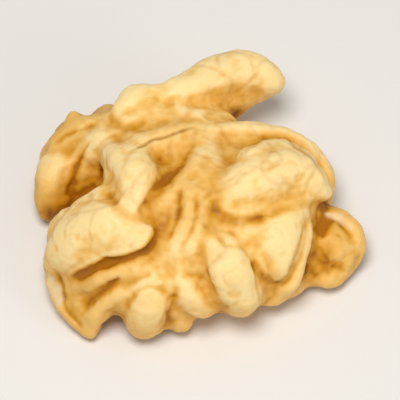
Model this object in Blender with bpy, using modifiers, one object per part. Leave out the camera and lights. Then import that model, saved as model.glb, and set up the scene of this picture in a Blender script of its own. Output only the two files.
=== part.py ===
"""Half of a shelled walnut kernel, lying on its rim with the wrinkled outer side up.

Metres, +Z up. The long axis is X, the two lobes lie side by side along Y, and the rim stands on Z = 0.
The kernel is one grown piece. Its two lobes and the plump folds on them are strings of balls, which a
voxel remesh grows together. The inner side is hollowed, and the rim is cut level where it stands.
"""

import bmesh
import bpy
from mathutils import Matrix, Vector

MM = 0.001
KERNEL = "walnut_kernel_half"

# Driving sizes, in millimetres.
GROWN_VOXEL = 0.30
HOLLOWED_VOXEL = 0.35
FOLD_SMOOTHING = 4
HOLLOW_SMOOTHING = 3
BALL_SPACING = 0.35  # of a ball's radius
TRIANGLE_SHARE = 0.13
FLOOR_BLOCK = 60.0
BOX_MIDDLE = (-0.1, -0.6)  # of the kernel, in the frame of the places below; it stands on the origin

# An ellipsoid is its centre (x, y, z) and its half sizes (x, y, z).
LOBES = {
    "front_lobe": ((-1.0, -4.4, 3.9), (11.0, 7.5, 7.8)),
    "front_skirt": ((-1.6, -4.8, 1.8), (11.8, 6.7, 4.8)),
    "left_corner": ((-8.8, -9.0, 2.2), (4.6, 3.6, 4.8)),
    "far_shelf": ((2.8, 0.4, 4.6), (8.2, 4.0, 5.4)),
    "back_lobe_left": ((-8.2, 4.4, 3.0), (6.2, 4.0, 4.8)),
    "back_lobe_right": ((-2.2, 7.8, 3.2), (5.8, 4.0, 5.2)),
    "isthmus": ((-3.0, 3.0, 5.4), (5.4, 4.6, 3.8)),
}

# A fold is a string of points along its crest line, each (x, y, z, radius).
FOLDS = {
    # The front lobe, from its far edge to the near one.
    "top_rim": [
        (-0.3, 3.2, 9.3, 1.4),
        (2.8, 3.7, 8.9, 1.3),
        (5.4, 4.0, 8.3, 1.3),
        (8.0, 4.0, 7.4, 1.3),
        (10.4, 3.2, 6.0, 1.3),
        (11.6, 1.4, 4.6, 1.3),
    ],
    "crown_front": [(-5.4, 1.4, 9.6, 1.9), (-3.2, 2.2, 9.7, 1.8), (-1.2, 2.9, 9.4, 1.6)],
    "crown_ridge": [(-7.8, 1.0, 8.7, 1.9), (-6.4, -1.0, 10.2, 2.3), (-5.9, -3.4, 11.0, 2.2), (-6.1, -5.4, 11.3, 1.5)],
    "crown_left": [(-8.2, 2.4, 8.2, 1.4), (-7.9, 0.4, 8.8, 1.5), (-7.7, -1.4, 9.2, 1.5)],
    "saddle": [
        (0.4, 1.6, 8.8, 2.0),
        (-0.2, -1.0, 9.3, 2.6),
        (-0.6, -3.8, 9.5, 2.8),
        (-1.2, -6.6, 8.8, 2.8),
        (-2.6, -8.8, 7.8, 2.3),
    ],
    "cheek": [
        (2.9, -3.8, 10.6, 2.0),
        (4.9, -2.8, 10.2, 2.6),
        (7.5, -1.2, 9.4, 2.7),
        (9.8, -1.4, 8.2, 2.2),
        (11.6, -1.8, 7.2, 1.1),
    ],
    "cheek_crown": [(4.9, -0.5, 10.4, 1.8), (7.3, 0.8, 9.2, 1.9), (9.5, 0.8, 7.9, 1.6)],
    "tongue": [
        (9.2, -4.2, 7.9, 1.2),
        (8.2, -4.9, 8.4, 1.6),
        (7.5, -6.9, 8.4, 1.8),
        (7.1, -8.6, 7.8, 1.8),
        (6.9, -9.6, 7.0, 1.4),
    ],
    "tongue_root": [(4.3, -7.4, 9.1, 1.5), (5.9, -7.0, 8.9, 1.8), (6.4, -8.2, 8.3, 1.9)],
    "right_rim": [
        (10.6, -2.4, 4.8, 1.2),
        (9.6, -4.8, 6.3, 1.1),
        (9.2, -7.0, 6.3, 1.1),
        (8.8, -8.5, 5.3, 1.2),
        (7.9, -9.7, 3.8, 1.3),
        (6.7, -10.4, 2.8, 1.4),
    ],
    "rim_fill": [(8.8, -5.0, 6.4, 1.3), (8.4, -7.0, 6.4, 1.4), (8.0, -8.6, 5.6, 1.4), (7.2, -9.6, 4.6, 1.4)],
    "middle_knob": [
        (1.9, -9.3, 9.6, 1.2),
        (2.3, -10.2, 9.1, 1.9),
        (3.1, -11.2, 7.5, 2.3),
        (3.6, -11.7, 5.2, 2.2),
        (3.5, -10.5, 2.6, 1.9),
    ],
    "small_knob": [(-1.8, -11.6, 7.2, 1.3), (-0.8, -12.4, 5.9, 1.5), (0.2, -12.4, 4.2, 1.5)],
    "low_knob": [(-2.4, -12.2, 4.0, 1.4), (-2.0, -12.6, 2.0, 1.4)],
    "front_knob": [(-4.7, -11.4, 7.1, 1.7), (-5.1, -12.3, 5.1, 2.5), (-5.2, -12.9, 2.7, 2.1)],
    "left_bulge": [
        (-13.0, -7.6, 4.2, 1.8),
        (-12.0, -7.2, 6.2, 2.6),
        (-10.4, -6.9, 7.8, 2.9),
        (-8.2, -7.0, 9.2, 2.7),
        (-6.4, -8.1, 9.8, 2.0),
        (-5.0, -8.4, 10.3, 1.2),
    ],
    "bulge_top": [(-10.6, -5.0, 7.8, 2.1), (-9.0, -4.2, 8.6, 2.0)],
    "left_ridge": [(-11.8, -10.0, 3.9, 1.3), (-9.8, -10.4, 5.9, 1.3), (-7.8, -10.3, 7.3, 1.2), (-6.0, -9.9, 8.2, 1.1)],
    "low_ridge": [(-10.2, -12.7, 2.4, 1.2), (-8.9, -12.1, 4.2, 1.2), (-7.5, -11.7, 5.5, 1.1)],
    "left_rim": [(-13.9, -7.4, 2.8, 1.1), (-13.6, -9.6, 2.4, 1.1), (-12.3, -11.7, 1.7, 1.1), (-10.4, -13.4, 1.2, 1.1)],
    # The sides of the front lobe, where its folds run down to the rim.
    "left_side_1": [(-12.2, -4.0, 6.0, 1.4), (-13.3, -3.9, 3.8, 1.4), (-13.4, -4.0, 1.8, 1.4)],
    "left_side_2": [(-13.0, -5.6, 4.6, 1.5), (-13.5, -5.9, 2.6, 1.4)],
    "front_side": [(1.0, -11.4, 4.2, 1.2), (1.2, -10.6, 2.0, 1.3)],
    "right_side_1": [(11.4, 0.6, 4.4, 1.5), (11.0, 0.2, 2.2, 1.5)],
    "right_side_2": [(9.2, 3.0, 4.8, 1.4), (9.6, 2.6, 2.0, 1.5)],
    "right_side_3": [(6.4, 3.8, 5.4, 1.4), (6.2, 3.6, 2.4, 1.5)],
    "right_side_4": [(6.8, -10.2, 2.6, 1.3), (8.6, -8.6, 2.0, 1.3)],
    # The small side lobe, at the right end.
    "flange": [
        (10.6, -2.6, 4.0, 1.6),
        (13.2, -3.0, 4.2, 1.3),
        (14.6, -4.6, 3.4, 1.2),
        (14.0, -6.2, 2.4, 1.3),
        (12.0, -7.9, 1.8, 1.3),
        (10.6, -7.4, 1.6, 1.2),
    ],
    "flange_floor": [(10.4, -4.4, 3.6, 2.2), (11.0, -5.6, 3.4, 2.0), (12.6, -5.0, 2.8, 1.9), (12.6, -5.8, 2.4, 1.8)],
    # The back lobe, from the fold at the left end to the one at the right.
    "end_bump": [(-13.2, 3.2, 4.8, 1.8), (-13.9, 1.8, 4.4, 2.1), (-14.1, -0.2, 2.5, 2.0)],
    "cleft_end": [(-12.6, 0.0, 1.4, 1.2), (-10.6, 0.2, 2.6, 1.5)],
    "near_ridge": [(-6.9, 3.6, 8.8, 1.5), (-9.2, 3.4, 7.5, 1.8), (-10.9, 2.4, 5.6, 1.6), (-11.4, 1.8, 3.8, 1.3)],
    "far_ridge": [(-8.4, 5.2, 7.8, 1.5), (-10.6, 5.2, 6.8, 1.7), (-12.6, 5.0, 5.5, 1.8), (-13.8, 4.3, 3.6, 1.8)],
    "pale_nub": [(-12.2, 6.9, 6.9, 0.9), (-12.2, 6.4, 5.9, 1.2)],
    "crest_bump": [(-7.2, 5.9, 9.1, 1.3), (-6.6, 6.9, 9.6, 1.5), (-5.6, 7.5, 9.5, 1.5), (-4.4, 7.6, 9.3, 1.3)],
    "finger": [
        (-4.2, 7.3, 9.3, 1.4),
        (-1.4, 8.5, 9.2, 1.7),
        (1.6, 10.7, 8.4, 2.1),
        (4.2, 11.5, 7.6, 2.2),
        (6.2, 11.2, 7.0, 1.8),
        (7.0, 10.8, 6.6, 1.1),
    ],
    "finger_foot": [
        (-2.0, 7.4, 7.6, 1.5),
        (0.4, 8.0, 7.0, 1.7),
        (2.6, 9.2, 6.4, 1.8),
        (4.6, 10.2, 6.2, 1.5),
        (6.0, 10.6, 6.2, 1.2),
    ],
    "bridge": [(-5.4, 4.8, 9.0, 1.4), (-2.3, 5.1, 9.0, 1.4), (0.8, 5.4, 8.4, 1.3), (2.6, 5.9, 7.2, 1.2)],
    # The far side of the back lobe, from left to right, and the fold under its right end.
    "far_knob_1": [(-11.4, 6.4, 5.0, 1.7), (-12.6, 7.2, 3.0, 1.7), (-12.4, 7.4, 1.4, 1.5)],
    "far_knob_2": [(-8.4, 6.4, 6.6, 1.6), (-8.8, 7.8, 4.8, 1.7), (-8.8, 8.6, 2.4, 1.8)],
    "far_knob_3": [(-5.2, 8.4, 7.2, 1.6), (-5.6, 9.8, 5.2, 1.7), (-5.4, 10.6, 2.4, 1.8)],
    "far_knob_4": [(-1.8, 9.2, 7.2, 1.6), (-2.0, 10.6, 5.2, 1.7), (-1.8, 11.4, 2.6, 1.8)],
    "far_knob_5": [(1.4, 11.6, 6.0, 1.6), (1.6, 12.0, 3.6, 1.8), (1.4, 11.8, 1.8, 1.6)],
    "end_fold": [(3.6, 11.0, 5.0, 1.6), (3.2, 11.2, 2.8, 1.5), (2.4, 10.8, 1.6, 1.4)],
}

# The hollows of the inner side and the notches between the lobes, as ellipsoids that are cut away.
HOLLOWS = {
    "front_hollow": ((-1.6, -5.2, -1.2), (8.6, 4.6, 4.8)),
    "back_hollow": ((-4.6, 7.2, -1.2), (6.2, 2.2, 4.6)),
    "partition_channel": ((-4.0, 2.3, -1.2), (13.0, 1.7, 4.9)),
    "right_cleft": ((10.6, 7.0, 5.0), (8.6, 1.7, 9.5)),
    "left_cleft": ((-15.0, -2.2, 5.5), (5.4, 0.9, 5.0)),
}


def new_collection(name):
    collection = bpy.data.collections.new(name)
    bpy.context.scene.collection.children.link(collection)
    return collection


def unit_ball(subdivisions):
    """A ball of radius 1 as mesh data, which the balls of the folds are copied from."""
    mesh = bmesh.new()
    bmesh.ops.create_icosphere(mesh, subdivisions=subdivisions, radius=1.0)
    ball = bpy.data.meshes.new("unit_ball")
    mesh.to_mesh(ball)
    mesh.free()
    return ball


def add_ball(mesh, ball, centre, half_sizes):
    """Adds a copy of the unit ball, at the given place and half sizes in millimetres."""
    mesh.from_mesh(ball)
    mesh.verts.ensure_lookup_table()
    copied = mesh.verts[-len(ball.vertices):]
    bmesh.ops.scale(mesh, vec=Vector(half_sizes) * MM, verts=copied)
    bmesh.ops.translate(mesh, vec=Vector(centre) * MM, verts=copied)


def smooth_string(points):
    """Points along a smooth curve through the given ones, a share of a ball's radius apart."""
    ends = [points[0], *points, points[-1]]
    for before, start, end, after in zip(ends, ends[1:], ends[2:], ends[3:]):
        length = (Vector(end[:3]) - Vector(start[:3])).length
        steps = max(1, round(length / (BALL_SPACING * min(start[3], end[3]))))
        for step in range(steps):
            t = step / steps
            yield tuple(
                0.5 * (2 * b + (c - a) * t + (2 * a - 5 * b + 4 * c - d) * t**2 + (3 * b - a - 3 * c + d) * t**3)
                for a, b, c, d in zip(before, start, end, after)
            )
    yield tuple(points[-1])


def grown_mesh():
    """The lobes and the folds, as balls that overlap."""
    mesh = bmesh.new()
    fine_ball, fold_ball = unit_ball(subdivisions=5), unit_ball(subdivisions=3)
    for centre, half_sizes in LOBES.values():
        add_ball(mesh, fine_ball, centre, half_sizes)
    for points in FOLDS.values():
        for x, y, z, radius in smooth_string(points):
            add_ball(mesh, fold_ball, (x, y, z), (radius, radius, radius))
    grown = bpy.data.meshes.new(KERNEL)
    mesh.to_mesh(grown)
    mesh.free()
    return grown


def add_cutter(collection, name, mesh):
    cutter = bpy.data.objects.new(name, bpy.data.meshes.new(name))
    mesh.to_mesh(cutter.data)
    mesh.free()
    cutter.hide_render = True
    cutter.display_type = "WIRE"
    collection.objects.link(cutter)
    return cutter


def hollow_cutter(collection, name, centre, half_sizes):
    """An ellipsoid that takes a hollow or a notch out of the kernel."""
    mesh = bmesh.new()
    add_ball(mesh, unit_ball(subdivisions=4), centre, half_sizes)
    return add_cutter(collection, name, mesh)


def floor_cutter(collection):
    """A block under the kernel. Its level top face cuts the lowest knobs, so that they stand flat."""
    mesh = bmesh.new()
    centre = Vector((0, 0, -FLOOR_BLOCK / 2)) * MM
    bmesh.ops.create_cube(mesh, size=FLOOR_BLOCK * MM, matrix=Matrix.Translation(centre))
    return add_cutter(collection, "floor_block", mesh)


def remesh(kernel, voxel):
    modifier = kernel.modifiers.new("grow_together", "REMESH")
    modifier.mode = "VOXEL"
    modifier.voxel_size = voxel * MM


def smooth(kernel, iterations):
    modifier = kernel.modifiers.new("soften", "SMOOTH")
    modifier.factor = 0.5
    modifier.iterations = iterations


def cut(kernel, cutter):
    cutter.parent = kernel
    modifier = kernel.modifiers.new(cutter.name, "BOOLEAN")
    modifier.operation = "DIFFERENCE"
    modifier.object = cutter


def skin_material():
    material = bpy.data.materials.new("kernel_skin")
    material.use_nodes = True
    skin = material.node_tree.nodes["Principled BSDF"]
    skin.inputs["Base Color"].default_value = (0.78, 0.50, 0.20, 1.0)
    skin.inputs["Roughness"].default_value = 0.5
    skin.inputs["Metallic"].default_value = 0.0
    return material


def build():
    for leftover in list(bpy.data.objects):
        bpy.data.objects.remove(leftover)
    parts = new_collection("walnut_kernel")
    cutters = new_collection("cutters")

    kernel = bpy.data.objects.new(KERNEL, grown_mesh())
    kernel.data.materials.append(skin_material())
    kernel.data.shade_smooth()
    kernel.location = (-BOX_MIDDLE[0] * MM, -BOX_MIDDLE[1] * MM, 0.0)
    parts.objects.link(kernel)

    remesh(kernel, GROWN_VOXEL)
    smooth(kernel, FOLD_SMOOTHING)
    for name, (centre, half_sizes) in HOLLOWS.items():
        cut(kernel, hollow_cutter(cutters, name, centre, half_sizes))
    remesh(kernel, HOLLOWED_VOXEL)
    smooth(kernel, HOLLOW_SMOOTHING)
    thin = kernel.modifiers.new("fewer_triangles", "DECIMATE")
    thin.ratio = TRIANGLE_SHARE
    cut(kernel, floor_cutter(cutters))


build()
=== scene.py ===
"""Half of a shelled walnut kernel: its fine surface and skin, on a pale floor in soft light."""

import math
import random

import bpy
import numpy as np
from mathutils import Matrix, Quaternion, Vector, noise
from mathutils.bvhtree import BVHTree
from mathutils.kdtree import KDTree


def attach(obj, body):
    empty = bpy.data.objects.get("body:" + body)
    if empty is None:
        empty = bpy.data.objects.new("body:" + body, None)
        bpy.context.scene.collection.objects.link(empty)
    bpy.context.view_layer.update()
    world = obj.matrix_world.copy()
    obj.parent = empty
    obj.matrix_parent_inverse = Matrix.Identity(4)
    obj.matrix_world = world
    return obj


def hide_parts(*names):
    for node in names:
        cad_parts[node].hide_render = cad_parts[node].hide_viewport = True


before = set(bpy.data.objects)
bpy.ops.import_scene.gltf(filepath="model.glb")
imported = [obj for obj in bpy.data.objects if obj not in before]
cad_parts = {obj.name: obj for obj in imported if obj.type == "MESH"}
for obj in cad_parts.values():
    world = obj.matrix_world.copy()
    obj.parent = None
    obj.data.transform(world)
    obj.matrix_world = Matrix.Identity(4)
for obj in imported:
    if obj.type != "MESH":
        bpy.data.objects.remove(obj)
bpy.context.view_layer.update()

MM = 0.001
NODE = "walnut_kernel_half"

# The fine surface, in millimetres.
FLOOR = 0.0  # what it rests on, and doesn't reach below
FINE_VOXEL = 0.184
FACET_SMOOTHING = 14  # rounds that melt the CAD solid's facets
SOFTENING = 150  # rounds, in the places where the folds are softest

# Lumps and wrinkles are bands of noise: (size of one, height).
# The noise has no end, and each kind is read from its own place in it.
LUMPS = ((3.6, 0.22), (1.7, 0.12))
LUMPS_FROM = (3.1, 5.27, 0.93)
WRINKLES = ((1.1, 0.06), (0.55, 0.04))
WRINKLES_FROM = (11.3, 19.21, 3.39)

# Furrows: (spacing, how much of the noise they take, depth).
FURROWS = ((4.5, 0.26, 0.14), (2.4, 0.26, 0.10))
FURROWS_FROM = (5.7, 3.99, 10.83)
FURROW_PATCH = 6.0  # the size of the patches where they come and go
FURROW_MEAN = 0.45  # their usual strength
FURROW_CONTRAST = 1.5  # how much it varies
FURROW_ON_TOP = 0.2  # how deep they are where the skin faces up

# How strokes are shaped.
STROKE_SPACING = 0.1  # between the points on a stroke's curve
STROKE_SMOOTHING = 2  # rounds
STROKE_FADE = 6  # a stroke fades over 1/6 of its length at each end
RIDGE_POWER = 1.2  # the higher the power, the narrower the stroke's middle
CREASE_POWER = 1.6
LAP_POWER = 1.5
LAP_STEP = 0.55  # half the width over which the skin steps down at the edge of a lap
LAP_GROOVE = 0.65  # the width of the groove at its foot, as a share of the lap's
LAP_SHADE_REACH = 0.4  # how much of the lap's width on the raised side takes painted shade
LAP_SHADE_STRENGTH = 2  # how dark the painted shade at its edge is, for each millimetre of the lap's height

# How hollow each point is, read from how far it lies below its smoothed surroundings:
# (rounds of smoothing, millimetres from the least hollow value to the most hollow).
# The hollower a point, the darker its colour: partly the skin's own tone, partly painted shade.
HOLLOWS = {"groove": (60, 0.9), "wrinkle": (8, 0.12)}

# How much of the sky the kernel hides, which darkens the colour: painted shade, and partly the skin's
# darker tone deep in its folds.
SKY_RAYS = 14  # that are cast from each point
SKY_START = 0.1  # how far over the skin they start
SKY_REACH = 4.0  # how far off the kernel still hides the sky
SKY_SMOOTHING = 6  # rounds
GOLDEN_ANGLE = math.pi * (3 - math.sqrt(5))

# The relief of the upper side is drawn as seen from the front at this height.
# There u is to the right and v is up.
VIEW_ELEVATION = math.radians(58)
V_AXIS = Vector((0, math.sin(VIEW_ELEVATION), math.cos(VIEW_ELEVATION)))
TOWARDS_VIEWER = Vector((0, -math.cos(VIEW_ELEVATION), math.sin(VIEW_ELEVATION)))
DRAWING_DISTANCE = 100 * MM  # from the kernel's middle to the drawing

# Each stroke is (half width, height or depth, points (u, v)), in millimetres.
# Rounded ridges.
RIDGES = {
    "below_bulge": (0.8, 0.30, [
        (-11.2, -6.3), (-10.2, -5.7), (-9.2, -5.1), (-8.0, -4.6), (-6.6, -4.4),
    ]),
    "middle_knob_side": (0.9, 0.25, [(1.0, -3.6), (1.4, -5.0), (1.9, -6.4), (2.4, -7.6)]),
    "low_left": (0.8, 0.30, [
        (-6.6, -6.1), (-8.0, -6.9), (-9.2, -7.8), (-9.9, -8.9), (-10.2, -10.0),
    ]),
    "saddle_left": (1.0, 0.15, [(0.0, 6.2), (-1.4, 4.6), (-2.7, 2.8), (-3.6, 1.4), (-4.2, 0.0)]),
    "saddle_middle": (0.8, 0.18, [
        (-0.6, 4.4), (-1.1, 2.8), (-1.2, 1.0), (-1.5, -0.6), (-2.3, -2.2),
    ]),
    "saddle_right": (0.8, 0.15, [(0.6, 2.8), (0.3, 1.0), (0.0, -0.8), (-0.6, -2.4), (-1.0, -3.6)]),
    "right_rim": (0.8, 0.40, [
        (10.6, 0.6), (10.2, -0.6), (10.0, -1.8), (9.7, -3.2), (9.2, -4.8), (8.4, -6.0), (7.2, -7.0),
    ]),
    "side_lobe_middle": (1.9, 0.65, [(11.6, -0.6), (12.6, -1.6), (13.2, -2.8), (12.8, -4.2)]),
    "tongue_gap": (0.6, 0.20, [(9.8, -0.6), (9.4, -2.2), (8.8, -4.0)]),
    "side_lobe_edge": (0.7, 0.25, [
        (11.6, 0.7), (12.7, 0.8), (13.8, 0.1), (14.8, -1.0), (15.2, -2.2),
    ]),
    "near_ridge": (1.2, 0.30, [(-11.0, 8.0), (-9.6, 7.8), (-8.4, 6.8), (-7.9, 5.2)]),
    "end_ridge": (1.4, 0.25, [(-12.4, 6.2), (-13.6, 5.4), (-14.4, 3.8), (-14.8, 2.0)]),
}
# Creases with soft shoulders.
CREASES = {
    "below_low_ridge": (1.1, 0.28, [
        (-7.4, -4.8), (-8.4, -5.8), (-9.4, -6.6), (-10.3, -7.3), (-10.9, -8.4),
    ]),
    "above_front_knob": (0.7, 0.20, [(-4.4, -4.6), (-5.6, -5.0), (-6.8, -5.8)]),
    "inside_left_rim": (0.6, 0.25, [
        (-13.9, -4.2), (-13.2, -5.4), (-12.9, -6.8), (-12.6, -8.2), (-11.7, -9.3), (-10.8, -10.3),
    ]),
    "valley_top": (1.5, 0.45, [
        (0.2, 8.0), (-1.1, 6.8), (-2.3, 5.2), (-3.3, 4.1), (-4.3, 3.0), (-5.0, 1.8), (-5.6, 0.7),
    ]),
    "bulge_dimple": (0.6, 0.25, [(-8.9, 2.9), (-8.3, 2.4), (-7.6, 1.7)]),
    "saddle_line_left": (0.5, 0.18, [
        (-1.9, 3.4), (-2.0, 1.8), (-2.2, 0.4), (-2.6, -0.8), (-3.3, -1.8),
    ]),
    "saddle_line_right": (0.5, 0.17, [
        (-0.3, 2.8), (-0.3, 0.9), (-0.8, -0.8), (-1.5, -2.0), (-1.9, -3.2),
    ]),
    "saddle_hollow": (1.1, 0.12, [(-2.8, 1.8), (-3.1, 0.5), (-3.4, -0.8), (-4.0, -1.8)]),
    "above_middle_knob": (0.7, 0.18, [(1.4, -0.6), (2.2, -1.9), (3.6, -2.2), (4.7, -2.8)]),
    "right_of_middle_knob": (0.6, 0.15, [(4.8, -3.4), (5.3, -5.0), (5.6, -6.4), (5.7, -7.6)]),
    "left_of_middle_knob": (0.7, 0.10, [(0.6, -4.0), (0.8, -5.6), (1.1, -7.0), (1.7, -8.0)]),
    "left_of_small_knob": (0.7, 0.25, [(-2.0, -5.4), (-2.5, -7.0), (-2.8, -8.6), (-2.7, -10.0)]),
    "above_small_knob": (0.6, 0.15, [(-2.2, -5.2), (-0.8, -4.9), (0.6, -5.2)]),
    "around_front_knob": (0.7, 0.25, [
        (-7.3, -9.4), (-7.0, -8.0), (-6.3, -6.8), (-5.0, -6.0), (-3.5, -6.3), (-2.7, -7.2),
    ]),
    "bump_hollow": (1.0, 0.20, [(-4.6, 11.8), (-3.4, 11.4), (-2.2, 11.2)]),
    "far_ridge_line": (0.8, 0.45, [
        (-9.8, 8.1), (-11.1, 6.9), (-11.7, 5.4), (-12.0, 3.8), (-12.6, 2.4),
    ]),
    "back_line": (0.6, 0.25, [(-9.4, 9.6), (-11.0, 8.9), (-12.6, 8.4), (-14.0, 7.4)]),
    "side_lobe_line_1": (0.8, 0.16, [(10.9, -0.4), (11.6, -1.4), (12.0, -2.6), (11.9, -4.0)]),
    "side_lobe_line_2": (0.6, 0.12, [(12.4, -0.8), (13.1, -1.9), (13.4, -3.2), (13.2, -4.4)]),
    "side_lobe_line_3": (0.6, 0.12, [(10.6, -2.6), (11.2, -3.6), (12.0, -4.6), (12.4, -5.4)]),
}
# Laps, where the skin to the left of the stroke rises and hangs over what is to the right.
LAPS = {
    "bulge": (1.8, 0.55, [
        (-12.8, -5.5), (-10.8, -4.5), (-9.5, -3.8), (-8.0, -3.3), (-6.5, -3.0),
        (-5.4, -2.5), (-4.6, -1.8), (-4.1, -0.6), (-4.0, 0.4),
    ]),
    "crown": (1.3, 0.16, [
        (-8.6, 2.6), (-7.2, 1.2), (-6.2, 0.8), (-5.2, 1.5), (-4.3, 2.8), (-3.3, 4.2), (-2.2, 5.8),
    ]),
    "cheek_low": (1.8, 0.32, [
        (1.4, 2.4), (2.0, 1.0), (3.0, 0.5), (4.6, 0.5), (5.6, 0.7), (6.6, 1.0),
    ]),
    "cheek_low_end": (1.2, 0.15, [(6.2, 0.9), (7.0, 1.2), (8.0, 1.5), (9.5, 1.8), (10.8, 1.8)]),
    "cheek_high": (1.2, 0.25, [
        (11.9, 3.8), (11.3, 4.8), (10.3, 6.1), (9.1, 7.0),
        (8.0, 7.8), (6.5, 7.9), (5.0, 7.2), (3.6, 6.0),
    ]),
    "tongue": (1.2, 0.25, [
        (4.7, -2.9), (5.3, -3.9), (6.0, -4.9), (7.0, -5.4), (8.0, -4.7), (8.5, -3.6),
    ]),
    "tongue_side": (1.0, 0.12, [(8.1, -4.5), (8.6, -3.2), (9.1, -1.6), (9.6, -0.2)]),
    "crest_bump": (1.5, 0.28, [(-8.3, 11.0), (-8.1, 9.8), (-7.1, 9.2), (-6.0, 9.4), (-5.0, 10.0)]),
}

# The crack between the lobes: (half width, depth, points (u, v)), in millimetres.
CRACK = (0.28, 0.16, [
    (-6.6, 6.7), (-5.2, 7.3), (-4.4, 7.8), (-3.4, 8.0), (-2.4, 8.4), (-1.2, 8.8), (-0.4, 9.0),
])

# Places whose folds are softer than the solid's, and places whose hollows are shallower:
# (reach in millimetres, share of the change, (u, v) or a place (x, y, z) on a side).
SOFTENED = {
    "saddle_top": (4.0, 1.0, (-0.4, 6.6)),
    "middle_knob_top": (2.2, 0.9, (2.0, -2.2)),
    "near_ridge_end": (2.6, 1.0, (-10.9, 4.6)),
    "rim_foot": (1.8, 0.8, (10.8, -3.2)),
}
FILLED = {
    "tongue_and_rim": (3.2, 1.0, (9.0, -2.6)),
    "tongue_low": (2.8, 1.0, (7.2, -5.6)),
    "beside_middle_knob": (2.6, 0.9, (5.2, -3.8)),
    "left_of_middle_knob": (2.0, 0.7, (0.9, -6.4)),
    "under_finger": (3.4, 1.0, (2.0, 11.6)),
    "under_finger_tip": (3.4, 1.0, (5.0, 12.8)),
    "bump_foot": (2.4, 1.0, (-6.0, 9.4)),
    "bump_hollow": (2.2, 0.9, (-3.4, 11.3)),
    "low_ridges": (2.0, 0.7, (-9.4, -6.6)),
    "low_ridges_end": (2.0, 0.9, (-10.9, -7.8)),
    "side_lobe": (3.6, 1.0, (12.2, -2.0)),
    "side_lobe_low": (3.0, 1.0, (11.6, -4.4)),
    "below_crown": (2.0, 0.8, (-8.4, 2.2)),
    "behind_cheek": (3.2, 0.7, (3.8, 7.4)),
    "valley": (2.8, 0.8, (-3.4, 4.0)),
    "between_knobs": (2.6, 1.0, (0.2, -5.2)),
    "right_of_middle_knob": (2.4, 0.9, (5.9, -5.8)),
    "above_front_knobs": (2.0, 0.8, (-2.4, -5.4)),
    "cheek_groove": (2.8, 1.0, (5.2, 0.5)),
    "side_lobe_top": (2.2, 0.8, (10.9, 0.0)),
    "back_pit": (3.2, 1.0, (-6.6, 8.8, 7.4)),
}

# Dents in the outline, where a stroke can't reach: (centre, reach, shift), in millimetres.
DENTS = {
    "beside_pointed_foot": ((-8.2, -11.7, 0.6), 2.6, (0.2, 1.2, 0.4)),
    "below_side_lobe": ((14.6, -7.6, 3.4), 2.4, (-0.4, 0.5, 0.0)),
}

# Veins in the skin start along the line where the lobes meet: (u, v, heading from the right in degrees).
# Their lengths are in millimetres.
VEIN_ROOTS = [
    (-6.4, 6.6, 245), (-4.6, 7.4, 250), (-2.6, 8.2, 255), (-0.4, 8.8, 265), (1.8, 9.2, 280),
    (4.6, 9.2, 300), (-7.6, 7.6, 150), (-5.2, 8.4, 110), (-2.4, 9.2, 80), (0.4, 10.0, 55),
]
VEIN_SEED = 9
VEIN_STEP = 0.12
VEIN_LENGTHS = (18.0, 8.0, 3.5)  # of a vein, a branch and a twig
VEIN_LENGTH_SHARES = (0.7, 1.1)  # the least and the most of that length
VEIN_WIDTHS = (0.42, 0.38, 0.34)  # half widths, where each starts
VEIN_TAPER = 0.3  # how much of the width is lost by the end
VEIN_SPACING = 0.9  # a vein stops this close to another
VEIN_BRANCHING = (1.4, 3.0)  # how far apart its branches start
VEIN_BRANCH_ANGLES = (30, 55)  # degrees
VEIN_WANDER = 2.4  # degrees by which its turn changes at each step
VEIN_STRAIGHTENING = 0.25  # how much of the turn is lost at each step
VEIN_STUCK = 0.2  # a shorter share of a step than this ends the vein
VEIN_DEPTH = 0.035

# Painted shade darkens the skin down the sides towards the floor; in patches it is darker too, mostly
# its own tone, and painted shade under the finger: (centre, reach in millimetres, how much).
SIDE_SHADE = 0.40  # painted shade at the floor
SIDE_SHADE_TOP = 8.0  # the height where it ends
PATCH_POWER = 0.7  # below 1, a patch keeps its darkening nearly to its edge
TONE_AND_SHADE_PATCHES = {
    "back_left": ((-11.5, 7.5, 5.5), 5.0, 0.50),
    "left_end": ((-15.0, 1.0, 2.5), 3.5, 0.30),
    "saddle": ((-1.4, -3.8, 10.2), 5.0, 0.38),
    "crest": ((-3.0, 3.0, 11.0), 4.0, 0.20),
    "side_lobe": ((12.0, -4.4, 4.5), 4.0, 0.34),
    "left_ridges": ((-9.0, -9.6, 6.0), 3.6, 0.15),
    # painted shade under the finger's overhang
    "finger_foot": ((2.6, 9.0, 6.8), 3.4, 0.42),
    "finger_root": ((-5.4, 6.8, 8.0), 3.0, 0.30),
}

# Places where the skin is scraped off and the pale nut shows: (reach, points (u, v)), in millimetres.
CHIP_DEPTH = 0.06
CHIP_RAG = 0.9  # the size of the notches in a chip's edge
CHIP_RAGGEDNESS = 0.8  # how far they go, as a share of the reach
CHIP_EDGE = 2  # how sharply the skin ends, for each millimetre
CHIPS = {
    "left_rim": (0.8, [(-14.3, -4.6), (-14.0, -5.8), (-13.6, -7.0), (-13.0, -8.0)]),
    "side_lobe_edge": (0.6, [(11.6, 0.8), (12.6, 0.7), (13.6, 0.1), (14.4, -0.8)]),
}


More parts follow.
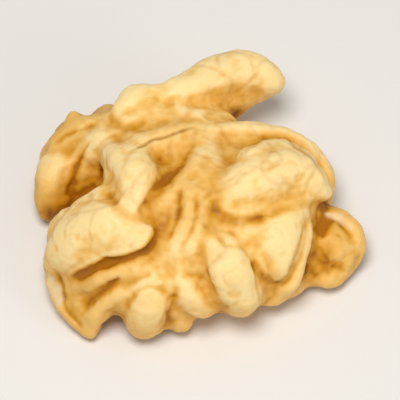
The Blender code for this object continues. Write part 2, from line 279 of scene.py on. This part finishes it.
class Surface:
    """A mesh's vertices as an array in millimetres, with what is needed to move and to smooth them."""

    def __init__(self, mesh):
        self.mesh = mesh
        count = len(mesh.vertices)
        self.points = self.read(mesh.vertices, "co", 3).reshape(count, 3) / MM
        self.edges = self.read(mesh.edges, "vertices", 2, np.int32).reshape(-1, 2)
        self.degree = np.bincount(self.edges.ravel(), minlength=count).astype(float)

    @staticmethod
    def read(items, name, width, kind=np.float32):
        values = np.empty(len(items) * width, kind)
        items.foreach_get(name, values)
        return values.astype(float) if kind is np.float32 else values

    def write(self):
        self.mesh.vertices.foreach_set("co", (self.points * MM).astype(np.float32).ravel())
        self.mesh.update()

    def normals(self):
        self.write()
        return self.read(self.mesh.vertex_normals, "vector", 3).reshape(-1, 3)

    def spread(self, values, rounds):
        """The values averaged with their neighbours', over and over."""
        starts, ends = self.edges.T
        for _ in range(rounds):
            columns = []
            for column in np.atleast_2d(values.T):
                total = np.bincount(starts, column[ends], len(column))
                total += np.bincount(ends, column[starts], len(column))
                columns.append(0.5 * column + 0.5 * total / self.degree)
            values = np.stack(columns, axis=-1).reshape(values.shape)
        return values

    def push(self, amounts):
        """Moves each point along its normal, by amounts in millimetres."""
        self.points += self.normals() * amounts[:, None]

    def tree(self):
        self.write()
        return BVHTree.FromPolygons(
            [v.co for v in self.mesh.vertices], [tuple(p.vertices) for p in self.mesh.polygons]
        )

    def attribute(self, name, values):
        layer = self.mesh.attributes.new(name, "FLOAT", "POINT")
        layer.data.foreach_set("value", np.clip(values, 0.0, 1.0).astype(np.float32))


def fine_copy(node, voxel):
    """A new object with the node's shape in small even faces."""
    kernel = bpy.data.objects.new("kernel_skin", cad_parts[node].data.copy())
    bpy.context.scene.collection.objects.link(kernel)
    modifier = kernel.modifiers.new("fine", "REMESH")
    modifier.mode = "VOXEL"
    modifier.voxel_size = voxel * MM
    graph = bpy.context.evaluated_depsgraph_get()
    fine = bpy.data.meshes.new_from_object(kernel.evaluated_get(graph), depsgraph=graph)
    kernel.modifiers.clear()
    kernel.data = fine
    kernel.data.materials.clear()
    kernel.data.shade_smooth()
    return kernel


def smooth_curve(points):
    """Points close together on a smooth curve through the given ones."""
    points = [np.array(p, float) for p in points]
    ends = [2 * points[0] - points[1], *points, 2 * points[-1] - points[-2]]
    curve = []
    for a, b, c, d in zip(ends, ends[1:], ends[2:], ends[3:]):
        count = max(2, round(float(np.linalg.norm(c - b)) / STROKE_SPACING))
        for t in np.arange(count) / count:
            squared = (2 * a - 5 * b + 4 * c - d) * t**2
            cubed = (3 * b - a - 3 * c + d) * t**3
            curve.append(0.5 * (2 * b + (c - a) * t + squared + cubed))
    return np.array(curve + [points[-1]])


def projected(tree, drawing):
    """The drawing's points (u, v), put onto the surface from the viewer's side."""
    landed = []
    for u, v in drawing:
        start = Vector((u * MM, 0, 0)) + V_AXIS * v * MM + TOWARDS_VIEWER * DRAWING_DISTANCE
        place = tree.ray_cast(start, -TOWARDS_VIEWER)[0]
        if place is not None:
            landed.append(place / MM)
    return landed


def along_stroke(surface, tree, points, reach):
    """The surface's points near a stroke: their numbers, distances to its left, and places along it.

    The places run from 0 at the stroke's start to 1 at its end.
    """
    line = np.array(projected(tree, smooth_curve(points)))
    low, high = line.min(axis=0) - reach, line.max(axis=0) + reach
    near = np.flatnonzero(((surface.points > low) & (surface.points < high)).all(axis=1))
    offsets = surface.points[near][:, None, :] - line[None, :, :]
    gaps = np.linalg.norm(offsets, axis=2)
    nearest = gaps.argmin(axis=1)
    runs = np.gradient(line, axis=0)[nearest]
    offset = offsets[np.arange(len(near)), nearest]
    side = np.sign(np.cross(runs, offset) @ np.array(TOWARDS_VIEWER))
    return near, gaps.min(axis=1) * side, nearest / (len(line) - 1)


def nearness(distance, reach):
    """1 at no distance, and falling evenly to 0 at the reach, on either side."""
    return np.clip(1 - np.abs(distance) / reach, 0.0, 1.0)


def roundness(distance, reach):
    """1 at no distance, and falling to 0 at the reach as a round hill does."""
    return np.clip(1 - (distance / reach) ** 2, 0.0, 1.0)


def noise_at(points, size, offset=Vector()):
    """Noise from about -1 to 1, in blobs of the given size."""
    return np.array([noise.noise(Vector(p) / size + offset) for p in points])


def ridge_profile(distance, width):
    return roundness(distance, width) ** RIDGE_POWER


def crease_profile(distance, width):
    return -nearness(distance, width) ** CREASE_POWER


def lap_profile(distance, width):
    """High on the left, falling away slowly, and a narrow groove at the foot of the step."""
    step = np.clip(0.5 + 0.5 * distance / LAP_STEP, 0.0, 1.0)
    raised = nearness(distance, width) ** LAP_POWER
    groove = nearness(distance, LAP_GROOVE * width) ** LAP_POWER
    return step * raised - (1 - step) * groove


def faded(along):
    """1 along most of a stroke, and falling to 0 at its ends."""
    return np.clip(STROKE_FADE * np.minimum(along, 1 - along), 0.0, 1.0)


def carve_strokes(surface):
    """Raises and sinks the skin along every stroke, and keeps how near a lap's edge each point is, as
    painted shade there.
    """
    tree = surface.tree()
    relief = np.zeros(len(surface.points))
    edge = np.zeros(len(surface.points))
    for strokes, profile in ((RIDGES, ridge_profile), (CREASES, crease_profile), (LAPS, lap_profile)):
        for width, height, points in strokes.values():
            near, distance, along = along_stroke(surface, tree, points, width)
            relief[near] += height * faded(along) * profile(distance, width)
            # Painted shade at each lap's edge, where its overhang would shade the skin.
            if strokes is LAPS:
                reach = np.where(distance > 0, LAP_SHADE_REACH * width, width)
                edge[near] += LAP_SHADE_STRENGTH * height * faded(along) * nearness(distance, reach)
    surface.push(surface.spread(relief, STROKE_SMOOTHING))
    surface.attribute("edge", edge)


def soften(surface):
    """Blurs the places whose folds are softer than the solid's, and fills the shallower hollows."""
    change = surface.spread(surface.points, SOFTENING) - surface.points
    raised = (change * surface.normals()).sum(axis=1) > 0
    tree = surface.tree()
    start = surface.points.copy()
    for spots, moved in ((SOFTENED, np.ones(len(start))), (FILLED, raised)):
        for reach, amount, place in spots.values():
            centre = place if len(place) == 3 else projected(tree, [place])[0]
            gap = np.linalg.norm(start - centre, axis=1)
            # The whole change in the inner half of the reach, and less of it further out.
            share = amount * moved * np.clip(2 * (1 - gap / reach), 0.0, 1.0)
            surface.points += share[:, None] * (start + change - surface.points)


def dent(surface):
    """Shifts the rim inwards at each dent."""
    for centre, reach, shift in DENTS.values():
        gap = np.linalg.norm(surface.points - centre, axis=1)
        surface.points += roundness(gap, reach)[:, None] * shift


def walk_vein(tree, taken, number, start, level, chance):
    """Walks over the surface until the vein's length is used or it meets another vein.

    Returns its points with their half widths, and where its branches start.
    """
    place, heading = start
    length = VEIN_LENGTHS[level] * chance.uniform(*VEIN_LENGTH_SHARES)
    next_branch = chance.uniform(*VEIN_BRANCHING)
    turn = 0.0
    path, branches = [], []
    for travelled in np.arange(0.0, length, VEIN_STEP):
        landed, normal, _, _ = tree.find_nearest((place + heading * VEIN_STEP) * MM)
        heading = landed / MM - place
        heading -= heading.dot(normal) * normal
        cell = tuple(round(c / VEIN_SPACING) for c in landed / MM)
        stuck = heading.length < VEIN_STUCK * VEIN_STEP
        met = taken.setdefault(cell, number) != number and travelled > VEIN_SPACING
        if stuck or met:
            break
        turn += chance.gauss(0, VEIN_WANDER) - VEIN_STRAIGHTENING * turn
        heading.normalize()
        heading.rotate(Quaternion(normal, math.radians(turn)))
        place = landed / MM
        path.append((place, VEIN_WIDTHS[level] * (1 - VEIN_TAPER * travelled / length)))
        if travelled > next_branch:
            next_branch += chance.uniform(*VEIN_BRANCHING)
            side = heading.copy()
            angle = chance.choice((-1, 1)) * chance.uniform(*VEIN_BRANCH_ANGLES)
            side.rotate(Quaternion(normal, math.radians(angle)))
            branches.append(((place, side), level + 1))
    return path, branches


def grow_veins(tree):
    """Every point of the veins, branches and twigs, with its half width."""
    chance = random.Random(VEIN_SEED)
    waiting = []
    for u, v, degrees in VEIN_ROOTS:
        angle = math.radians(degrees)
        heading = Vector((math.cos(angle), 0, 0)) + V_AXIS * math.sin(angle)
        waiting.append(((projected(tree, [(u, v)])[0], heading), 0))
    taken = {}
    veins = []
    while waiting:
        start, level = waiting.pop(0)
        path, branches = walk_vein(tree, taken, len(veins), start, level, chance)
        veins += path
        if level + 1 < len(VEIN_LENGTHS):
            waiting += branches
    return veins


def add_veins(surface):
    """Sinks the veins a little into the skin, and keeps how much of a vein each point is."""
    veins = grow_veins(surface.tree())
    finder = KDTree(len(veins))
    for number, (place, _) in enumerate(veins):
        finder.insert(place, number)
    finder.balance()
    share = np.zeros(len(surface.points))
    for index, point in enumerate(surface.points):
        _, number, gap = finder.find(point)
        share[index] = max(0.0, 1 - gap / veins[number][1])
    share = surface.spread(share, 1)
    surface.push(-VEIN_DEPTH * share)
    surface.attribute("vein", share)


def add_crack(surface):
    """Sinks the crack, and keeps how much of it each point is."""
    width, depth, points = CRACK
    near, distance, along = along_stroke(surface, surface.tree(), points, width)
    share = np.zeros(len(surface.points))
    share[near] = faded(along) * nearness(distance, width)
    surface.push(-depth * share)
    surface.attribute("crack", share)


def add_chips(surface):
    """Takes the skin off along the chipped edges, and keeps where."""
    tree = surface.tree()
    ragged = noise_at(surface.points, CHIP_RAG)
    bare = np.zeros(len(surface.points))
    for reach, points in CHIPS.values():
        near, distance, along = along_stroke(surface, tree, points, 2 * reach)
        edge = reach * faded(along) * (1 + CHIP_RAGGEDNESS * ragged[near])
        inside = np.clip(CHIP_EDGE * (edge - np.abs(distance)), 0.0, 1.0)
        bare[near] = np.maximum(bare[near], inside)
    surface.push(-CHIP_DEPTH * bare)
    surface.attribute("bare", bare)


def add_lumps(surface, bands, offset):
    for size, height in bands:
        surface.push(height * noise_at(surface.points, size, Vector(offset)))


def add_tone_and_shade(surface):
    """Keeps how much darker the skin is at each point: in the patches, its own tone or painted shade,
    and down the sides, painted shade.
    """
    # Painted shade down the sides, darkest at the floor.
    tone_and_shade = SIDE_SHADE * np.clip(1 - surface.points[:, 2] / SIDE_SHADE_TOP, 0.0, 1.0)
    # Patches: the skin's own darker tone, and painted shade under the finger.
    for centre, reach, amount in TONE_AND_SHADE_PATCHES.values():
        gap = np.linalg.norm(surface.points - centre, axis=1)
        tone_and_shade += amount * nearness(gap, reach) ** PATCH_POWER
    surface.attribute("tone_and_shade", tone_and_shade)


def add_furrows(surface):
    """Winding furrows where a slow noise changes sign. They come and go, deepest down the sides."""
    offset = Vector(FURROWS_FROM)
    for spacing, share, depth in FURROWS:
        furrow = nearness(noise_at(surface.points, spacing, offset), share) ** 2
        patches = noise_at(surface.points, FURROW_PATCH, -offset)
        strength = np.clip(FURROW_MEAN + FURROW_CONTRAST * patches, 0.0, 1.0)
        strength *= np.clip(1 + FURROW_ON_TOP - surface.normals()[:, 2], FURROW_ON_TOP, 1.0)
        surface.push(surface.spread(-depth * furrow * strength, STROKE_SMOOTHING))


def cavity(surface, rounds):
    """How far each point lies below its smoothed surroundings, in millimetres."""
    normals = surface.normals()
    smoothed = surface.spread(surface.points, rounds)
    return ((smoothed - surface.points) * normals).sum(axis=1)


def sky_rays():
    """Directions spread over the upward half of a ball, with more of them near its top."""
    turns = np.arange(SKY_RAYS) * GOLDEN_ANGLE
    heights = np.sqrt(1 - (np.arange(SKY_RAYS) + 0.5) / SKY_RAYS)
    radii = np.sqrt(1 - heights**2)
    return [Vector(ray) for ray in zip(radii * np.cos(turns), radii * np.sin(turns), heights)]


def closeness(surface):
    """How much of the sky over each point the kernel itself hides, from 0 to 1."""
    tree = surface.tree()
    rays = sky_rays()
    hidden = np.zeros(len(surface.points))
    for index, (point, normal) in enumerate(zip(surface.points, surface.normals())):
        lean = Vector((0, 0, 1)).rotation_difference(Vector(normal))
        start = Vector(point + SKY_START * normal) * MM
        for ray in rays:
            if tree.ray_cast(start, lean @ ray, SKY_REACH * MM)[0] is not None:
                hidden[index] += 1 / SKY_RAYS
    return surface.spread(hidden, SKY_SMOOTHING)


def make_kernel():
    kernel = fine_copy(NODE, FINE_VOXEL)
    surface = Surface(kernel.data)
    surface.points = surface.spread(surface.points, FACET_SMOOTHING)
    soften(surface)
    dent(surface)
    carve_strokes(surface)
    add_lumps(surface, LUMPS, LUMPS_FROM)
    add_furrows(surface)
    add_chips(surface)
    add_veins(surface)
    add_crack(surface)
    add_lumps(surface, WRINKLES, WRINKLES_FROM)
    add_tone_and_shade(surface)
    surface.attribute("closed", closeness(surface))
    for name, (rounds, span) in HOLLOWS.items():
        surface.attribute(name, 0.5 + cavity(surface, rounds) / span)
    surface.points[:, 2] = np.maximum(surface.points[:, 2], FLOOR)
    surface.write()
    return kernel


class Nodes:
    """Short calls that add nodes to a material."""

    MIX_FIRST = 6  # the numbers of a Mix node's sockets for colours
    MIX_SECOND = 7
    MIX_RESULT = 2

    def __init__(self, material):
        material.use_nodes = True
        self.tree = material.node_tree
        self.shader = self.tree.nodes["Principled BSDF"]
        self.place = self.add("ShaderNodeTexCoord").outputs["Object"]

    def add(self, kind, **settings):
        node = self.tree.nodes.new(kind)
        for name, value in settings.items():
            if name in node.inputs:
                node.inputs[name].default_value = value
            else:
                setattr(node, name, value)
        return node

    def link(self, output, target):
        self.tree.links.new(output, target)

    def attribute(self, name):
        return self.add("ShaderNodeAttribute", attribute_name=name).outputs["Fac"]

    def ramp(self, factor, stops):
        node = self.add("ShaderNodeValToRGB")
        while len(node.color_ramp.elements) < len(stops):
            node.color_ramp.elements.new(0.5)
        for element, (place, colour) in zip(node.color_ramp.elements, stops):
            element.position = place
            element.color = (*colour, 1.0)
        self.link(factor, node.inputs["Fac"])
        return node.outputs["Color"]

    def noise(self, scale, detail=4.0):
        node = self.add("ShaderNodeTexNoise", Scale=scale, Detail=detail, Roughness=NOISE_ROUGHNESS)
        self.link(self.place, node.inputs["Vector"])
        return node.outputs["Fac"]

    def crinkles(self):
        """1 on parts of a net of bent lines."""
        bending = self.add("ShaderNodeTexNoise", Scale=NET_SCALE, Detail=3.0)
        self.link(self.place, bending.inputs["Vector"])
        bent = self.add("ShaderNodeVectorMath", operation="MULTIPLY_ADD")
        self.link(bending.outputs["Color"], bent.inputs[0])
        bent.inputs[1].default_value = (NET_BEND, NET_BEND, NET_BEND)
        self.link(self.place, bent.inputs[2])
        cells = self.add("ShaderNodeTexVoronoi", feature="DISTANCE_TO_EDGE", Scale=NET_SCALE)
        self.link(bent.outputs["Vector"], cells.inputs["Vector"])
        net = self.fit(cells.outputs["Distance"], 0.0, NET_LINE, 1.0, 0.0)
        return self.product(net, self.fit(self.noise(NET_PATCH_SCALE), *NET_PATCHES))

    def mix(self, factor, under, colour):
        """The colour over what is under it, by the factor."""
        node = self.add("ShaderNodeMix", data_type="RGBA")
        self.link(factor, node.inputs["Factor"])
        self.link(under, node.inputs[self.MIX_FIRST])
        node.inputs[self.MIX_SECOND].default_value = (*colour, 1.0)
        return node.outputs[self.MIX_RESULT]

    def arithmetic(self, operation, first, second):
        node = self.add("ShaderNodeMath", operation=operation)
        self.link(first, node.inputs[0])
        self.link(second, node.inputs[1])
        return node.outputs["Value"]

    def product(self, first, second):
        return self.arithmetic("MULTIPLY", first, second)

    def total(self, first, *others):
        for other in others:
            first = self.arithmetic("ADD", first, other)
        return first

    def fit(self, value, low, high, new_low=0.0, new_high=1.0):
        """The value's range from low to high, stretched to the new one and cut off at its ends."""
        node = self.add("ShaderNodeMapRange")
        self.link(value, node.inputs["Value"])
        numbers = {"From Min": low, "From Max": high, "To Min": new_low, "To Max": new_high}
        for name, number in numbers.items():
            node.inputs[name].default_value = number
        return node.outputs["Result"]


def linear(red, green, blue):
    """A colour given as 0 to 255 on a screen, as the shader's numbers."""
    return tuple(((c / 255 + 0.055) / 1.055) ** 2.4 for c in (red, green, blue))


CREST = linear(252, 222, 158)
SKIN = linear(243, 199, 118)
SLOPE = linear(230, 176, 84)
GROOVE = linear(206, 144, 30)
DEEP = linear(168, 104, 6)
VEIN = linear(176, 118, 50)
# Painted shade in the crack between the lobes.
CRACK_SHADE = linear(140, 106, 66)
NUT = linear(230, 204, 156)

# The skin's colour by how deep it lies, from a crest to the bottom of a fold: partly its own tone, paler
# on the crests and golden in the folds, and partly painted shade.
DEPTHS = ((0.08, CREST), (0.28, SKIN), (0.52, SLOPE), (0.80, GROOVE), (1.0, DEEP))

# What adds to that depth: an attribute's lowest and highest value, and how much it adds at each. The
# hollows, wrinkles and hidden sky darken it partly as the skin's own tone and partly as painted shade.
DEEPENING = {
    "groove": (0.40, 0.80, 0.0, 0.60),
    "closed": (0.03, 0.80, 0.0, 0.64),
    # painted shade at the edges of the laps
    "wrinkle": (0.4, 1.0, 0.0, 0.16),
    "edge": (0.0, 1.0, 0.0, 0.48),
}

# How much of their own colour the veins have, and how much painted shade the crack has.
VEIN_SHARE = 0.22
CRACK_SHARE = 0.60

# Noise in the skin: the scale is how many blobs there are in a metre.
NOISE_ROUGHNESS = 0.55
BLOTCH_SCALE = 380
BLOTCHES = (0.35, 0.7, 0.02, 0.16)  # the noise's range, and what it adds to the depth
SHINE_SCALE = 1500
SHINE = (0.3, 0.7, 0.38, 0.58)  # the noise's range, and the skin's roughness there
GRAIN_SCALE = 2200
BUMP_STRENGTH = 0.6
BUMP_DISTANCE = 0.1 * MM

# A net of bent crinkles that comes and goes.
NET_SCALE = 750
NET_LINE = 0.07  # half a line's width, as a share of a cell
NET_BEND = 1.8 * MM  # how far its lines are bent, at most
NET_PATCH_SCALE = 0.6 * NET_SCALE
NET_PATCHES = (0.48, 0.62)  # the noise's range from none of the net to all of it
NET_COLOUR = 0.04  # what it adds to the depth
NET_HEIGHT = -0.16  # what it adds to the bumps

# How much light the skin mirrors, and how much goes in and comes out again.
MIRRORED = 0.22
GLOW_SHARE = 0.15
GLOW_REACH = 0.8 * MM
GLOW_SPREAD = (1.0, 0.45, 0.2)  # how far red, green and blue go, as shares of that reach


def skin_colour(nodes, crinkles):
    """The colour by how deep a place lies, partly the skin's own tone and partly painted shade, with the
    veins, the crack's painted shade and the chips over it.
    """
    deepening = [nodes.fit(nodes.attribute(name), *numbers) for name, numbers in DEEPENING.items()]
    blotches = nodes.fit(nodes.noise(BLOTCH_SCALE, detail=5.0), *BLOTCHES)
    fine_lines = nodes.fit(crinkles, 0.0, 1.0, 0.0, NET_COLOUR)
    depth = nodes.total(*deepening, blotches, nodes.attribute("tone_and_shade"), fine_lines)
    colour = nodes.ramp(depth, DEPTHS)
    for name, share, own in (("vein", VEIN_SHARE, VEIN), ("crack", CRACK_SHARE, CRACK_SHADE)):
        colour = nodes.mix(nodes.fit(nodes.attribute(name), 0.0, 1.0, 0.0, share), colour, own)
    return nodes.mix(nodes.attribute("bare"), colour, NUT)


def skin_bumps(nodes, crinkles):
    """Normals from a fine grain, with the crinkles sunk into it."""
    bump = nodes.add("ShaderNodeBump", Strength=BUMP_STRENGTH, Distance=BUMP_DISTANCE)
    lines = nodes.fit(crinkles, 0.0, 1.0, 0.0, NET_HEIGHT)
    nodes.link(nodes.total(nodes.noise(GRAIN_SCALE, detail=5.0), lines), bump.inputs["Height"])
    return bump.outputs["Normal"]


def skin_material():
    material = bpy.data.materials.new("kernel_skin")
    nodes = Nodes(material)
    crinkles = nodes.crinkles()
    inputs = nodes.shader.inputs
    nodes.link(skin_colour(nodes, crinkles), inputs["Base Color"])
    nodes.link(nodes.fit(nodes.noise(SHINE_SCALE), *SHINE), inputs["Roughness"])
    nodes.link(skin_bumps(nodes, crinkles), inputs["Normal"])
    inputs["Specular IOR Level"].default_value = MIRRORED
    inputs["Subsurface Weight"].default_value = GLOW_SHARE
    inputs["Subsurface Radius"].default_value = GLOW_SPREAD
    inputs["Subsurface Scale"].default_value = GLOW_REACH
    return material


# The studio, in metres.
FLOOR_HALF = 3.0
FLOOR_COLOUR = (0.80, 0.79, 0.77, 1.0)
FLOOR_ROUGHNESS = 0.7
WORLD_COLOUR = (1.0, 0.99, 0.97, 1.0)
WORLD_STRENGTH = 0.30

# Round lights: (place, size, watts, colour).
LIGHTS = {
    "key": ((-0.03, -0.08, 0.34), 0.16, 0.93, (1.0, 0.97, 0.93)),
    "fill": ((0.28, -0.16, 0.14), 0.20, 0.20, (1.0, 0.98, 0.95)),
}
LIGHT_TARGET = Vector((0, 0, 0.005))

VIEW_TARGET = Vector((0, 0, 0.004))
VIEW_DISTANCE = 0.45
VIEW_WIDTH = 0.038  # what the frame takes in, across the kernel
SENSOR = 36.0  # millimetres


def floor_material():
    material = bpy.data.materials.new("floor")
    material.use_nodes = True
    shader = material.node_tree.nodes["Principled BSDF"]
    shader.inputs["Base Color"].default_value = FLOOR_COLOUR
    shader.inputs["Roughness"].default_value = FLOOR_ROUGHNESS
    return material


def make_floor():
    mesh = bpy.data.meshes.new("floor")
    signs = ((-1, -1), (1, -1), (1, 1), (-1, 1))
    corners = [(x * FLOOR_HALF, y * FLOOR_HALF, FLOOR * MM) for x, y in signs]
    mesh.from_pydata(corners, [], [(0, 1, 2, 3)])
    floor = bpy.data.objects.new("floor", mesh)
    bpy.context.scene.collection.objects.link(floor)
    floor.data.materials.append(floor_material())
    return floor


def aim(thing, place, target):
    thing.location = place
    thing.rotation_euler = (target - Vector(place)).to_track_quat("-Z", "Y").to_euler()


def area_light(name, place, size, watts, colour):
    light = bpy.data.lights.new(name, "AREA")
    light.shape = "DISK"
    light.size = size
    light.energy = watts
    light.color = colour
    lamp = bpy.data.objects.new(name, light)
    bpy.context.scene.collection.objects.link(lamp)
    aim(lamp, place, LIGHT_TARGET)


def make_world():
    world = bpy.data.worlds.new("studio")
    bpy.context.scene.world = world
    world.use_nodes = True
    background = world.node_tree.nodes["Background"]
    background.inputs["Color"].default_value = WORLD_COLOUR
    background.inputs["Strength"].default_value = WORLD_STRENGTH


def make_camera():
    data = bpy.data.cameras.new("camera")
    data.sensor_width = SENSOR
    data.lens = SENSOR * VIEW_DISTANCE / VIEW_WIDTH
    camera = bpy.data.objects.new("camera", data)
    bpy.context.scene.collection.objects.link(camera)
    aim(camera, VIEW_TARGET + TOWARDS_VIEWER * VIEW_DISTANCE, VIEW_TARGET)
    bpy.context.scene.camera = camera


kernel = make_kernel()
kernel.data.materials.append(skin_material())
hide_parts(NODE)
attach(kernel, "root")

make_floor()
make_world()
for light_name, settings in LIGHTS.items():
    area_light(light_name, *settings)
make_camera()
bpy.context.scene.view_settings.view_transform = "Standard"
